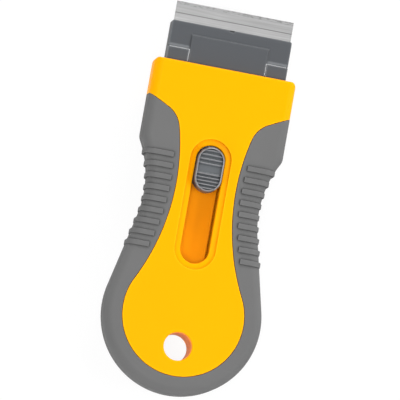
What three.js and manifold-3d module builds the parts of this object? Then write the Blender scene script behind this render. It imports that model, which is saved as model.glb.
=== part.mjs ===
// Retractable scraper. A moulded handle in two halves with soft grips holds a slide, and a thumb
// button pushes the slide and its single-edge blade out of the handle's mouth.
// Millimetres, +Z up. The scraper lies on its back with the blade towards +Y, fully out.
// The pieces are drawn from the centre of the round tail, and the last group centres them.
import * as THREE from "three";
import { mergeVertices } from "three/addons/utils/BufferGeometryUtils.js";
import Module from "manifold-3d";

const wasm = await Module();
wasm.setup();

// Blade, a standard single-edge one
const BLADE_WIDTH = 38.1;
const BLADE_DEPTH = 18.5;
const BLADE_THICKNESS = 0.25;
const BLADE_EDGE_THICKNESS = 0.04;
const BEVEL_DEPTH = 3.8;
const SPINE_DEPTH = 4.5;
const SPINE_WALL = 0.4;

// Handle
const HANDLE_LENGTH = 105.4;
const HANDLE_THICKNESS = 14;
const TAIL_RADIUS = 25.4;
const WAIST_WIDTH = 36.8;
const WAIST_RADIUS = 34;
const WAIST_RISE = 37;
const SHOULDER_RADIUS = 4;
const HEAD_WALL = 3.15;
const HEAD_CORNER_ACROSS = 1.6;
const HEAD_CORNER_ALONG = 2;
const FRONT_EDGE_RADIUS = 3;
const REAR_EDGE_HEIGHT = 6;
const REAR_EDGE_INSET = 4.5;
const MOUTH_EDGE_RADIUS = 0.8;
const PARTING_HEIGHT = 7.6;
const FRONT_WALL = 2.4;
const REAR_WALL = 2.2;

// Hang hole
const HOLE_RADIUS = 4.5;
const HOLE_DROP = 10;
const HOLE_TUBE_WALL = 1.6;

// Soft grips
const GRIP_THICKNESS = 1.2;
const PANEL_TAIL_RADIUS = 19.6;
const PANEL_WAIST_HALF = 9.7;
const PANEL_WAIST_RISE = 41.4;
const FIN_SETBACK = 12.1;
const FIN_SLOPE = 26.6 * Math.PI / 180;
const FIN_RADIUS = 8.6;
const REAR_BAND = 5.2;
const RIB_COUNT = 9;
const RIB_PITCH = 3.7;
const RIB_WIDTH = 1.75;
const RIB_HEIGHT = 0.4;
const RIB_MARGIN = 1.8;
const RIB_MIDDLE_RISE = 35;
const REAR_RIB_FLOOR = 1.4;

// Thumb slot and button
const SLOT_WIDTH = 9.3;
const SLOT_SETBACK = 25.05;
const DISH_MARGIN = 1.95;
const DISH_DEPTH = 0.9;
const DISH_STEP = 0.45;
const BUTTON_LENGTH = 14.4;
const BUTTON_STAND = 1.7;
const BUTTON_EDGE_RADIUS = 0.7;
const BUTTON_RIM = 0.6;
const BUTTON_HOLLOW = 0.6;
const BUTTON_PLATEAU = 3.4;
const BUTTON_FRONT_RIBS = 4;
const BUTTON_REAR_RIBS = 5;
const BUTTON_RIB_HEIGHT = 0.35;
const WING_MARGIN = 0.95;
const WING_LENGTH = 8;
const WING_THICKNESS = 1;
const PRESS_TRAVEL = 1;

// Slide
const BLADE_REACH = 19;
const BLADE_EXPOSED = 6.3;
const CARRIAGE_LENGTH = 14.6;
const CARRIER_MARGIN = 0.45;
const CARRIER_BASE = 4.5;
const CLAMP_THICKNESS = 1.3;
const CLAMP_SIDE_DROP = 0.4;
const SHOE_WIDTH = 6.8;
const SHOE_LENGTH = 5.95;
const CLAMP_PANEL_LENGTH = 4.7;
const LIP_DEPTH = 1.7;
const LIP_DROP = 0.45;
const NICK_WIDTH = 1.6;
const NICK_DEPTH = 0.6;
const NICK_FLOOR = 0.1;
const NECK_LENGTH = 13.5;
const TONGUE_HALF = 6;
const TONGUE_DECK = 1;
const TONGUE_SETBACK = 1.2;
const CORNER_RADIUS = 1.2;
const FRONT_CORNER_RADIUS = 0.6;
const SNAP_LEG_WIDTH = 3;
const SNAP_LEG_THICKNESS = 1.2;
const SNAP_LEG_SPREAD = 8.6;
const POCKET_COUNT = 4;
const POCKET_RIB = 1.5;
const POCKET_DEPTH = 2.4;

// Lock spring, its rivet and the notched racks
const SPRING_THICKNESS = 0.35;
const SPRING_WIDTH = 6;
const SPRING_CREST = 3;
const SPRING_FOOT = 4;
const EAR_LENGTH = 2.4;
const EAR_BITE = 0.7;
const RACK_WIDTH = 1.7;
const RACK_DEPTH = 1.1;
const RIVET_RADIUS = 1;
const RIVET_HEAD_RADIUS = 1.7;
const RIVET_HEAD_HEIGHT = 0.5;

// Guide rail and runners
const RAIL_HALF = 4.5;
const RAIL_WALL = 1.4;
const RUNNER_SPREAD = 12;
const RUNNER_WIDTH = 1.6;
const FENCE_HEIGHT = 1.5;
const FENCE_WIDTH = 1;

// Screws and their bosses
const NECK_SCREW_SPREAD = 10.2;
const TAIL_SCREW_SPREAD = 12.5;
const TAIL_SCREW_RISE = 3;
const SCREW_RADIUS = 1.3;
const SCREW_LENGTH = 8;
const SCREW_HEAD_RADIUS = 2.3;
const SCREW_HEAD_HEIGHT = 1.5;
const SCREW_CROWN_RADIUS = 1.6;
const SCREW_TIP = 2.6;
const SCREW_SINK = 0.5;
const BOSS_WALL = 1;

// Clearances
const SLIDE_GAP = 0.35;
const RUN_GAP = 0.3;
const SEAT_GAP = 0.05;
const BOND_GAP = 0.15;
const BUTTON_GAP = 0.25;
const BUTTON_END_GAP = 0.7;
const SCREW_GAP = 0.15;
const PARTING_GAP = 0.1;
const BOSS_GAP = 1.2;

// Facets
const TAIL_STEPS = 18;
const WAIST_STEPS = 10;
const CORNER_STEPS = 4;
const ROUND_STEPS = 12;
const ROUND_SIDES = 20;
const FINE_EDGE = { rear: [0, 0.15, 0.35, 0.6, 1], front: [0, 0.3, 0.65, 1] };
const COARSE_EDGE = { rear: [0, 0.4, 1], front: [0, 0.5, 1] };
const SQUARE_ROOF = { rear: [0, 0.4, 1], front: [0] };

// Half-widths, from the blade outwards
const carrierHalf = BLADE_WIDTH / 2 + CARRIER_MARGIN;
const channelHalf = carrierHalf + SLIDE_GAP;
const headHalf = channelHalf + HEAD_WALL;
const waistHalf = WAIST_WIDTH / 2;
const waistCentre = new THREE.Vector2(waistHalf + WAIST_RADIUS, WAIST_RISE);

// Places along the handle. The slide is drawn back until its wide end meets the shoulders inside.
const mouthY = HANDLE_LENGTH - TAIL_RADIUS;
const finTopY = mouthY - FIN_SETBACK;
const tipY = mouthY + BLADE_REACH;
const clampFrontY = tipY - BLADE_EXPOSED;
const bladeRearY = tipY - BLADE_DEPTH;
const carrierRearY = clampFrontY - CARRIAGE_LENGTH;
const channelShoulderY = shoulderCentre(HEAD_WALL).y;
const slideTravel = carrierRearY - channelShoulderY - BUTTON_END_GAP;
const slotFrontY = mouthY - SLOT_SETBACK;
const slotRearY = slotFrontY - slideTravel - BUTTON_LENGTH - 2 * BUTTON_END_GAP;
const buttonY = slotFrontY - BUTTON_END_GAP - BUTTON_LENGTH / 2;
const shoeFrontY = carrierRearY + SHOE_LENGTH;
const neckRearY = carrierRearY - NECK_LENGTH;
const neckHalf = waistHalf - HEAD_WALL - SLIDE_GAP;
const neckScrewY = neckRearY - slideTravel - SCREW_RADIUS - SCREW_GAP - BOSS_WALL - BOSS_GAP;
const buttonHalf = SLOT_WIDTH / 2 - BUTTON_GAP;
const tongueRearY = buttonY - BUTTON_LENGTH / 2 + TONGUE_SETBACK;
const rivetY = buttonY + BUTTON_LENGTH / 2 + RIVET_HEAD_RADIUS + RUN_GAP;
const railRearY = slotRearY - DISH_MARGIN;
const railFrontY = carrierRearY - slideTravel - RUN_GAP;

// Heights, from the front face down
const roofZ = HANDLE_THICKNESS - FRONT_WALL;
const slideTopZ = roofZ - RUN_GAP;
const clampZ = slideTopZ - CLAMP_THICKNESS;
const bladeZ = clampZ - SEAT_GAP - BLADE_THICKNESS;
const seatZ = bladeZ - SEAT_GAP;
const slideFloorZ = seatZ - CARRIER_BASE;
const runnerZ = slideFloorZ - RUN_GAP;
const wingZ = slideTopZ - WING_THICKNESS;
const tongueZ = wingZ - PRESS_TRAVEL - SPRING_THICKNESS - 2 * SEAT_GAP;
const grooveZ = tongueZ - TONGUE_DECK;
const railZ = grooveZ - RUN_GAP;
const rackZ = roofZ - RACK_DEPTH;
const insideRoofZ = roofZ + (FRONT_WALL - GRIP_THICKNESS - BOND_GAP) / 2;
const insideFloorZ = (REAR_WALL + GRIP_THICKNESS + BOND_GAP) / 2;

const colours = {
  yellow: new THREE.MeshStandardMaterial({ color: 0xfec204, roughness: 0.42, metalness: 0 }),
  orange: new THREE.MeshStandardMaterial({ color: 0xf99b08, roughness: 0.42, metalness: 0 }),
  softGrey: new THREE.MeshStandardMaterial({ color: 0x7f8080, roughness: 0.8, metalness: 0 }),
  darkGrey: new THREE.MeshStandardMaterial({ color: 0x5f6266, roughness: 0.5, metalness: 0 }),
  midGrey: new THREE.MeshStandardMaterial({ color: 0x727578, roughness: 0.55, metalness: 0 }),
  blade: new THREE.MeshStandardMaterial({ color: 0xb8b9ba, roughness: 0.3, metalness: 1 }),
  aluminium: new THREE.MeshStandardMaterial({ color: 0xc9cacc, roughness: 0.4, metalness: 1 }),
  spring: new THREE.MeshStandardMaterial({ color: 0x8d9094, roughness: 0.35, metalness: 1 }),
  zinc: new THREE.MeshStandardMaterial({ color: 0xb0b3b5, roughness: 0.4, metalness: 1 }),
};

// Solids and booleans
function solid(geometry) {
  geometry.deleteAttribute("normal");
  geometry.deleteAttribute("uv");
  const merged = mergeVertices(geometry, 1e-4);
  return new wasm.Manifold(new wasm.Mesh({
    numProp: 3,
    vertProperties: new Float32Array(merged.attributes.position.array),
    triVerts: new Uint32Array(merged.index.array),
  }));
}

function geometryOf(body) {
  const mesh = body.getMesh();
  const geometry = new THREE.BufferGeometry();
  geometry.setAttribute("position", new THREE.BufferAttribute(mesh.vertProperties, 3));
  geometry.setIndex(new THREE.BufferAttribute(mesh.triVerts, 1));
  geometry.computeVertexNormals();
  return geometry;
}

function joined(...bodies) {
  return bodies.reduce((whole, body) => whole.add(body));
}

// A block between two corners
function block([x0, y0, z0], [x1, y1, z1]) {
  const box = new THREE.BoxGeometry(x1 - x0, y1 - y0, z1 - z0);
  return solid(box.translate((x0 + x1) / 2, (y0 + y1) / 2, (z0 + z1) / 2));
}

// A plan outline raised from one height to another
function prism(points, z0, z1) {
  const plan = new THREE.ExtrudeGeometry(new THREE.Shape(points), { depth: z1 - z0, bevelEnabled: false });
  return solid(plan.translate(0, 0, z0));
}

// A side profile of (y, z) points drawn out across the handle, from -half to half
function bar(profile, half) {
  const side = new THREE.Shape(profile.map(([y, z]) => new THREE.Vector2(y, z)));
  const run = new THREE.ExtrudeGeometry(side, { depth: 2 * half, bevelEnabled: false });
  const axes = new THREE.Matrix4().makeBasis(
    new THREE.Vector3(0, 1, 0), new THREE.Vector3(0, 0, 1), new THREE.Vector3(1, 0, 0));
  return solid(run.applyMatrix4(axes).translate(-half, 0, 0));
}

function post(x, y, radius, z0, z1, sides = ROUND_SIDES) {
  const round = new THREE.CylinderGeometry(radius, radius, z1 - z0, sides).rotateX(Math.PI / 2);
  return solid(round.translate(x, y, (z0 + z1) / 2));
}

function mirrored(points) {
  return points.map((point) => new THREE.Vector2(-point.x, point.y)).reverse();
}

function arc(centre, radiusX, radiusY, from, to, steps) {
  const clockwise = to < from;
  const curve = new THREE.EllipseCurve(centre.x, centre.y, radiusX, radiusY, from, to, clockwise);
  return curve.getPoints(steps);
}

// A slot with round ends, along Y
function stadium(halfWidth, rearY, frontY, steps = ROUND_STEPS) {
  const front = new THREE.Vector2(0, frontY - halfWidth);
  const rear = new THREE.Vector2(0, rearY + halfWidth);
  return [
    ...arc(front, halfWidth, halfWidth, 0, Math.PI, steps),
    ...arc(rear, halfWidth, halfWidth, Math.PI, 2 * Math.PI, steps),
  ];
}

// Rings of plan points at rising heights, closed at both ends
function loft(rings) {
  const count = rings[0].plan.length;
  const positions = rings.flatMap(({ plan, z }) => plan.flatMap((point) => [point.x, point.y, z]));
  const faces = [];
  for (let ring = 0; ring + 1 < rings.length; ring++) {
    for (let i = 0; i < count; i++) {
      const a = ring * count + i;
      const b = ring * count + (i + 1) % count;
      faces.push(a, b, b + count, a, b + count, a + count);
    }
  }
  const top = (rings.length - 1) * count;
  for (const [a, b, c] of THREE.ShapeUtils.triangulateShape(rings[0].plan, [])) {
    faces.push(c, b, a);
  }
  for (const [a, b, c] of THREE.ShapeUtils.triangulateShape(rings.at(-1).plan, [])) {
    faces.push(top + a, top + b, top + c);
  }
  const geometry = new THREE.BufferGeometry();
  geometry.setAttribute("position", new THREE.Float32BufferAttribute(positions, 3));
  geometry.setIndex(faces);
  return solid(geometry);
}

// Where the straight side of the head rounds into the waist, for an outline moved in by an inset
function shoulderCentre(inset) {
  const radius = Math.max(SHOULDER_RADIUS - inset, SHOULDER_RADIUS / 10);
  const x = headHalf - inset - radius;
  const reach = WAIST_RADIUS + inset + radius;
  const across = waistCentre.x - x;
  return { x, y: waistCentre.y + Math.sqrt(reach * reach - across * across), radius };
}

// The handle's outline, anticlockwise from the tail. The waist arc and the tail arc share a tangent.
function outline(inset, mouthInset = 0) {
  const tailRadius = TAIL_RADIUS - inset;
  const waistRadius = WAIST_RADIUS + inset;
  const flank = waistCentre.angle() - Math.acos((TAIL_RADIUS + WAIST_RADIUS) / waistCentre.length());
  const shoulder = shoulderCentre(inset);
  const centre = new THREE.Vector2(shoulder.x, shoulder.y);
  const lean = centre.clone().sub(waistCentre).angle();
  const across = Math.max(HEAD_CORNER_ACROSS - inset, HEAD_CORNER_ACROSS / 4);
  const along = Math.max(HEAD_CORNER_ALONG - inset, HEAD_CORNER_ALONG / 4);
  const corner = new THREE.Vector2(headHalf - inset - across, mouthY - mouthInset - along);
  const right = [
    ...arc(new THREE.Vector2(0, 0), tailRadius, tailRadius, -Math.PI / 2, flank, TAIL_STEPS),
    ...arc(waistCentre, waistRadius, waistRadius, Math.PI + flank, lean, WAIST_STEPS),
    ...arc(centre, shoulder.radius, shoulder.radius, lean - Math.PI, 0, CORNER_STEPS).slice(1),
    ...arc(corner, across, along, 0, Math.PI / 2, CORNER_STEPS),
  ];
  return [...right, ...mirrored(right.slice(1))];
}

// The handle's rounded slab, moved in by an inset, between two heights
function slab({ inset, floor, roof, frontRadius, rearInset, rearHeight, mouthRadius, mouthReach, edge }) {
  const rear = edge.rear.map((share) => {
    const fall = 1 - Math.sin(share * Math.PI / 2);
    const rise = 1 - Math.cos(share * Math.PI / 2);
    return { z: floor + rearHeight * rise, move: rearInset * fall, mouth: 0 };
  });
  const front = edge.front.map((share) => {
    const fall = 1 - Math.cos(share * Math.PI / 2);
    const rise = Math.sin(share * Math.PI / 2) - 1;
    return { z: roof + frontRadius * rise, move: frontRadius * fall, mouth: mouthRadius * fall };
  });
  return loft([...rear, ...front].map(({ z, move, mouth }) => (
    { plan: outline(inset + move, mouth - mouthReach), z })));
}

// The whole handle's outside, or the same skin moved in or out
function handleSkin(depth) {
  return slab({
    inset: depth,
    floor: Math.max(depth, 0),
    roof: HANDLE_THICKNESS - depth,
    frontRadius: FRONT_EDGE_RADIUS - depth,
    rearInset: REAR_EDGE_INSET - depth,
    rearHeight: REAR_EDGE_HEIGHT - depth,
    mouthRadius: MOUTH_EDGE_RADIUS,
    mouthReach: 0,
    edge: depth > 0 ? COARSE_EDGE : FINE_EDGE,
  });
}

// Beyond the grips the head's back rises to the mouth, so that the blade can lie flat to the work
function headRamp(lift) {
  const rise = runnerZ - REAR_WALL;
  const slope = rise / FIN_SETBACK;
  const far = mouthY + 2 * BLADE_REACH;
  const deep = -HANDLE_THICKNESS;
  return bar([
    [finTopY, lift], [finTopY, deep], [far, deep], [far, lift + slope * (far - finTopY)],
  ], 2 * headHalf);
}

// The room inside the handle, open at the mouth
function hollow() {
  const room = slab({
    inset: HEAD_WALL,
    floor: REAR_WALL,
    roof: roofZ,
    frontRadius: 0,
    rearInset: REAR_EDGE_INSET - REAR_WALL,
    rearHeight: REAR_EDGE_HEIGHT - REAR_WALL,
    mouthRadius: 0,
    mouthReach: BLADE_REACH,
    edge: SQUARE_ROOF,
  });
  return room.subtract(headRamp(REAR_WALL));
}

// The height along the handle where a fin of the grip ends, at a place across it
function finLine(x, lift) {
  return finTopY - (headHalf - x) * Math.tan(FIN_SLOPE) + lift / Math.cos(FIN_SLOPE);
}

// The yellow panel between the front grip's arms, grown by a margin. Its waist arc is tangent to
// its round tail, and a rounded fin closes each arm.
function frontPanel(margin) {
  const narrowing = PANEL_TAIL_RADIUS - PANEL_WAIST_HALF;
  const tailReach = PANEL_TAIL_RADIUS ** 2 - PANEL_WAIST_HALF ** 2;
  const waistRadius = (PANEL_WAIST_RISE ** 2 - tailReach) / (2 * narrowing);
  const centre = new THREE.Vector2(PANEL_WAIST_HALF + waistRadius, PANEL_WAIST_RISE);
  const meet = centre.angle();
  const inner = waistRadius - FIN_RADIUS;
  const along = new THREE.Vector2(Math.cos(FIN_SLOPE), Math.sin(FIN_SLOPE));
  const start = new THREE.Vector2(0, finLine(0, -FIN_RADIUS)).sub(centre);
  const run = -start.dot(along) - Math.sqrt(start.dot(along) ** 2 - start.lengthSq() + inner * inner);
  const fin = new THREE.Vector2(0, finLine(0, -FIN_RADIUS)).addScaledVector(along, run);
  const finAngle = fin.clone().sub(centre).angle();
  const topAngle = FIN_SLOPE + Math.PI / 2;
  const finRadius = FIN_RADIUS - margin;
  const far = 2 * headHalf;
  const tail = PANEL_TAIL_RADIUS + margin;
  const waist = waistRadius - margin;
  const right = [
    ...arc(new THREE.Vector2(0, 0), tail, tail, -Math.PI / 2, meet, TAIL_STEPS),
    ...arc(centre, waist, waist, Math.PI + meet, finAngle, ROUND_STEPS).slice(1),
    ...arc(fin, finRadius, finRadius, finAngle, topAngle, CORNER_STEPS).slice(1),
    new THREE.Vector2(far, finLine(far, -margin)),
    new THREE.Vector2(far, mouthY + far),
  ];
  return prism([...right, ...mirrored(right.slice(1))], -HANDLE_THICKNESS, 2 * HANDLE_THICKNESS);
}

// The yellow panel between the rear grip's arms: the flat of the back, and the head above the fins
function rearPanel(margin) {
  const far = 2 * headHalf;
  const head = [
    new THREE.Vector2(far, finLine(far, -margin)),
    new THREE.Vector2(far, mouthY + far),
  ];
  const low = [new THREE.Vector2(0, finLine(0, -margin))];
  const flat = prism(outline(REAR_BAND - margin), -HANDLE_THICKNESS, 2 * HANDLE_THICKNESS);
  const top = prism([...low, ...head, ...mirrored(head)], -HANDLE_THICKNESS, 2 * HANDLE_THICKNESS);
  return flat.add(top);
}

function halfSpace(z0, z1) {
  const far = 2 * HANDLE_LENGTH;
  return block([-far, -far, z0], [far, far, z1]);
}

const frontHalf = halfSpace(PARTING_HEIGHT, 2 * HANDLE_THICKNESS);
const rearHalf = halfSpace(-HANDLE_THICKNESS, PARTING_HEIGHT - PARTING_GAP);

// The hard half under a grip: full size at its panel, and thinner under the soft skin
function mouldedHalf(panel, half) {
  const skin = handleSkin(0).intersect(panel(-BOND_GAP));
  return skin.add(handleSkin(GRIP_THICKNESS + BOND_GAP)).intersect(half);
}

// A grip: the soft skin outside the panel, with ribs that run round its sides
function softHalf(panel, half, ribFloor) {
  const skin = handleSkin(0).subtract(handleSkin(GRIP_THICKNESS)).subtract(panel(0));
  const proud = handleSkin(-RIB_HEIGHT).subtract(handleSkin(GRIP_THICKNESS / 2));
  const bars = [];
  for (let i = 0; i < RIB_COUNT; i++) {
    const y = RIB_MIDDLE_RISE + (i - (RIB_COUNT - 1) / 2) * RIB_PITCH;
    const low = [-headHalf, y - RIB_WIDTH / 2, ribFloor];
    bars.push(block(low, [headHalf, y + RIB_WIDTH / 2, 2 * HANDLE_THICKNESS]));
  }
  const ribs = proud.intersect(joined(...bars)).subtract(panel(RIB_MARGIN));
  return skin.add(ribs).intersect(half);
}

// The neck screws stand just behind the slide's neck when the slide is drawn right back
const screwPlaces = [
  [-NECK_SCREW_SPREAD, neckScrewY], [NECK_SCREW_SPREAD, neckScrewY],
  [-TAIL_SCREW_SPREAD, TAIL_SCREW_RISE], [TAIL_SCREW_SPREAD, TAIL_SCREW_RISE],
];

function holeCut() {
  return post(0, -HOLE_DROP, HOLE_RADIUS, -HANDLE_THICKNESS, 2 * HANDLE_THICKNESS, 2 * ROUND_SIDES);
}

function holeTube(z0, z1) {
  return post(0, -HOLE_DROP, HOLE_RADIUS + HOLE_TUBE_WALL, z0, z1, 2 * ROUND_SIDES);
}

// Notched racks under the roof, one each side of the slot, that the lock spring's ears hook into
function lockRacks() {
  const inner = TONGUE_HALF + RUN_GAP;
  const outer = inner + RACK_WIDTH;
  const notch = EAR_LENGTH / 2 + RUN_GAP;
  const racks = [-1, 1].map((side) => block(
    [Math.min(side * inner, side * outer), slotRearY, rackZ],
    [Math.max(side * inner, side * outer), slotFrontY, insideRoofZ]));
  const notches = [0, slideTravel].map((drawn) => block(
    [-outer, buttonY - drawn - notch, 0], [outer, buttonY - drawn + notch, roofZ]));
  return joined(...racks).subtract(joined(...notches));
}

function frontShell() {
  const bossRadius = SCREW_RADIUS + SCREW_GAP + BOSS_WALL;
  const pilotRadius = SCREW_RADIUS + SCREW_GAP;
  const slot = stadium(SLOT_WIDTH / 2, slotRearY, slotFrontY);
  const bosses = screwPlaces.map(([x, y]) => post(x, y, bossRadius, PARTING_HEIGHT, insideRoofZ));
  const pilots = screwPlaces.map(([x, y]) => post(x, y, pilotRadius, 0, roofZ));
  return mouldedHalf(frontPanel, frontHalf)
    .subtract(hollow())
    .add(joined(holeTube(PARTING_HEIGHT, insideRoofZ), lockRacks(), ...bosses))
    .subtract(joined(holeCut(), ...pilots))
    .subtract(prism(slot, roofZ - FRONT_WALL, 2 * HANDLE_THICKNESS))
    .subtract(slotDish());
}

// The shallow dish round the slot: a small step at its rim, then a slope down to the slot
function slotDish() {
  const levels = [
    { margin: 0, z: HANDLE_THICKNESS - DISH_DEPTH },
    { margin: DISH_MARGIN, z: HANDLE_THICKNESS - DISH_STEP },
    { margin: DISH_MARGIN, z: 2 * HANDLE_THICKNESS },
  ];
  return loft(levels.map(({ margin, z }) => (
    { z, plan: stadium(SLOT_WIDTH / 2 + margin, slotRearY - margin, slotFrontY + margin) })));
}

// Two runners that the slide rides on, and a low fence that holds the guide rail
function runnersAndFence() {
  const runnerRear = neckRearY - slideTravel;
  const runners = [-1, 1].map((side) => block(
    [side * RUNNER_SPREAD - RUNNER_WIDTH / 2, runnerRear, insideFloorZ],
    [side * RUNNER_SPREAD + RUNNER_WIDTH / 2, mouthY - MOUTH_EDGE_RADIUS, runnerZ]));
  const fenceTop = REAR_WALL + FENCE_HEIGHT;
  const fence = prism(railPlan(BOND_GAP + FENCE_WIDTH), insideFloorZ, fenceTop);
  const seat = prism(railPlan(BOND_GAP), REAR_WALL, 2 * fenceTop);
  return { raised: joined(fence, ...runners), seat };
}

function railPlan(margin) {
  return stadium(RAIL_HALF + margin, railRearY - margin, railFrontY + margin);
}

function rearShell() {
  const bossRadius = SCREW_RADIUS + SCREW_GAP + BOSS_WALL;
  const boreRadius = SCREW_HEAD_RADIUS + SCREW_GAP;
  const headSeat = SCREW_SINK + SCREW_HEAD_HEIGHT;
  const top = PARTING_HEIGHT - PARTING_GAP;
  const { raised, seat } = runnersAndFence();
  const bosses = screwPlaces.flatMap(([x, y]) => [
    post(x, y, bossRadius, insideFloorZ, top),
    post(x, y, boreRadius + BOSS_WALL, insideFloorZ, headSeat + BOSS_WALL),
  ]);
  const bores = screwPlaces.flatMap(([x, y]) => [
    post(x, y, boreRadius, -HANDLE_THICKNESS, headSeat),
    post(x, y, SCREW_RADIUS + SCREW_GAP, 0, HANDLE_THICKNESS),
  ]);
  return mouldedHalf(rearPanel, rearHalf)
    .subtract(hollow())
    .add(joined(holeTube(insideFloorZ, top), raised, ...bosses))
    .subtract(joined(holeCut(), ...bores))
    .subtract(seat)
    .subtract(headRamp(0));
}

// The rail is an upturned trough with round ends
function guideRail() {
  const outside = prism(railPlan(0), REAR_WALL, railZ);
  return outside.subtract(prism(railPlan(-RAIL_WALL), 0, railZ - RAIL_WALL));
}

// The slide's plan: wide at the blade, then a neck, then the tongue under the button
function slidePlan() {
  const turn = CORNER_RADIUS;
  const quarter = Math.PI / 2;
  const corner = (x, y, from, to) => arc(new THREE.Vector2(x, y), turn, turn, from, to, CORNER_STEPS);
  const end = new THREE.Vector2(0, tongueRearY + TONGUE_HALF);
  const front = new THREE.Vector2(carrierHalf - FRONT_CORNER_RADIUS, clampFrontY - FRONT_CORNER_RADIUS);
  const right = [
    ...arc(end, TONGUE_HALF, TONGUE_HALF, -quarter, 0, ROUND_STEPS),
    ...corner(TONGUE_HALF + turn, neckRearY - turn, 2 * quarter, quarter),
    ...corner(neckHalf - turn, neckRearY + turn, -quarter, 0),
    ...corner(neckHalf + turn, carrierRearY - turn, 2 * quarter, quarter),
    ...corner(carrierHalf - turn, carrierRearY + turn, -quarter, 0),
    ...arc(front, FRONT_CORNER_RADIUS, FRONT_CORNER_RADIUS, 0, quarter, CORNER_STEPS),
  ];
  return [...right, ...mirrored(right.slice(1))];
}

function spineRoom(gap) {
  const half = BLADE_WIDTH / 2 + gap;
  const front = bladeRearY + SPINE_DEPTH + gap;
  const middle = bladeZ + BLADE_THICKNESS / 2;
  const rise = BLADE_THICKNESS / 2 + SPINE_WALL + 2 * SEAT_GAP + gap;
  return block([-half, bladeRearY - gap, middle - rise], [half, front, middle + rise]);
}

// Snap legs of the clamp, or the windows that they pass through
function snapLegs(gap, z0, z1) {
  const y = (carrierRearY + bladeRearY) / 2;
  return joined(...[-1, 1].map((side) => block(
    [side * SNAP_LEG_SPREAD - SNAP_LEG_WIDTH / 2 - gap, y - SNAP_LEG_THICKNESS / 2 - gap, z0],
    [side * SNAP_LEG_SPREAD + SNAP_LEG_WIDTH / 2 + gap, y + SNAP_LEG_THICKNESS / 2 + gap, z1])));
}

// Hollows moulded into the slide's underside
function slidePockets() {
  const pitch = (2 * carrierHalf - POCKET_RIB) / POCKET_COUNT;
  const rear = bladeRearY + POCKET_RIB;
  const front = clampFrontY - POCKET_RIB;
  const pockets = Array.from({ length: POCKET_COUNT }, (_, i) => {
    const left = -carrierHalf + POCKET_RIB + i * pitch;
    return block([left, rear, 0], [left + pitch - POCKET_RIB, front, slideFloorZ + POCKET_DEPTH]);
  });
  return joined(...pockets);
}

function bladeCarrier() {
  const high = 2 * HANDLE_THICKNESS;
  const plate = prism(slidePlan(), slideFloorZ, seatZ);
  const behind = block([-headHalf, 0, tongueZ], [headHalf, neckRearY + CORNER_RADIUS, high]);
  const groove = block([-RAIL_HALF - RUN_GAP, 0, 0], [RAIL_HALF + RUN_GAP, carrierRearY, grooveZ]);
  const shoes = [-1, 1].map((side) => block(
    [Math.min(side * (carrierHalf - SHOE_WIDTH), side * carrierHalf), carrierRearY, seatZ - CORNER_RADIUS],
    [Math.max(side * (carrierHalf - SHOE_WIDTH), side * carrierHalf), shoeFrontY, slideTopZ]));
  const rivetHole = post(0, rivetY, RIVET_RADIUS + SCREW_GAP, 0, high);
  return plate
    .subtract(joined(behind, groove))
    .add(joined(...shoes, buttonRails()))
    .subtract(joined(rivetHole, spineRoom(SCREW_GAP), slidePockets()))
    .subtract(snapLegs(RUN_GAP, 0, high));
}

// A rail on each side of the button, with a window in it that the button's wing drops into
function buttonRails() {
  const inner = buttonHalf + RUN_GAP;
  const window = WING_LENGTH / 2 + RUN_GAP;
  const front = buttonY + BUTTON_LENGTH / 2 + RUN_GAP;
  const high = 2 * slideTopZ;
  const rails = prism(slidePlan(), grooveZ, slideTopZ)
    .intersect(block([-TONGUE_HALF, 0, 0], [TONGUE_HALF, front, high]));
  const way = block([-inner, 0, 0], [inner, front, high]);
  const windows = block([-headHalf, buttonY - window, tongueZ], [headHalf, buttonY + window, high]);
  return rails.subtract(joined(way, windows));
}

// A T-shaped cover between the shoes, with a raised panel, a lowered lip and a prying nick
function bladeClamp() {
  const stemHalf = carrierHalf - SHOE_WIDTH - RUN_GAP;
  const turn = FRONT_CORNER_RADIUS;
  const front = new THREE.Vector2(carrierHalf - turn, clampFrontY - turn);
  const right = [
    new THREE.Vector2(stemHalf, carrierRearY + RUN_GAP),
    new THREE.Vector2(stemHalf, shoeFrontY + RUN_GAP),
    new THREE.Vector2(carrierHalf, shoeFrontY + RUN_GAP),
    ...arc(front, turn, turn, 0, Math.PI / 2, CORNER_STEPS),
  ];
  const plan = prism([...right, ...mirrored(right)], clampZ, slideTopZ);
  const panelFrontY = shoeFrontY + CLAMP_PANEL_LENGTH;
  const sideZ = slideTopZ - CLAMP_SIDE_DROP;
  const lowered = bar([
    [shoeFrontY, sideZ], [clampFrontY - LIP_DEPTH, sideZ], [clampFrontY, sideZ - LIP_DROP],
    [clampFrontY, slideTopZ + CLAMP_SIDE_DROP], [shoeFrontY, slideTopZ + CLAMP_SIDE_DROP],
  ], carrierHalf);
  const raised = loft([sideZ, slideTopZ + CLAMP_SIDE_DROP].map((z) => {
    const lean = slideTopZ - z;
    return { z, plan: [
      new THREE.Vector2(-stemHalf - lean, 0), new THREE.Vector2(stemHalf + lean, 0),
      new THREE.Vector2(stemHalf + lean, panelFrontY + lean),
      new THREE.Vector2(-stemHalf - lean, panelFrontY + lean),
    ] };
  }));
  const nick = post(0, clampFrontY, NICK_WIDTH / 2, clampZ + NICK_FLOOR, 2 * HANDLE_THICKNESS)
    .intersect(halfNick());
  return plan
    .subtract(lowered.subtract(raised))
    .add(snapLegs(0, slideFloorZ + RUN_GAP, clampZ + SEAT_GAP))
    .subtract(joined(spineRoom(SCREW_GAP), nick));
}

function halfNick() {
  const deep = clampFrontY - NICK_DEPTH;
  return block([-NICK_WIDTH, deep, 0], [NICK_WIDTH, clampFrontY + NICK_WIDTH, 2 * HANDLE_THICKNESS]);
}

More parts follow.
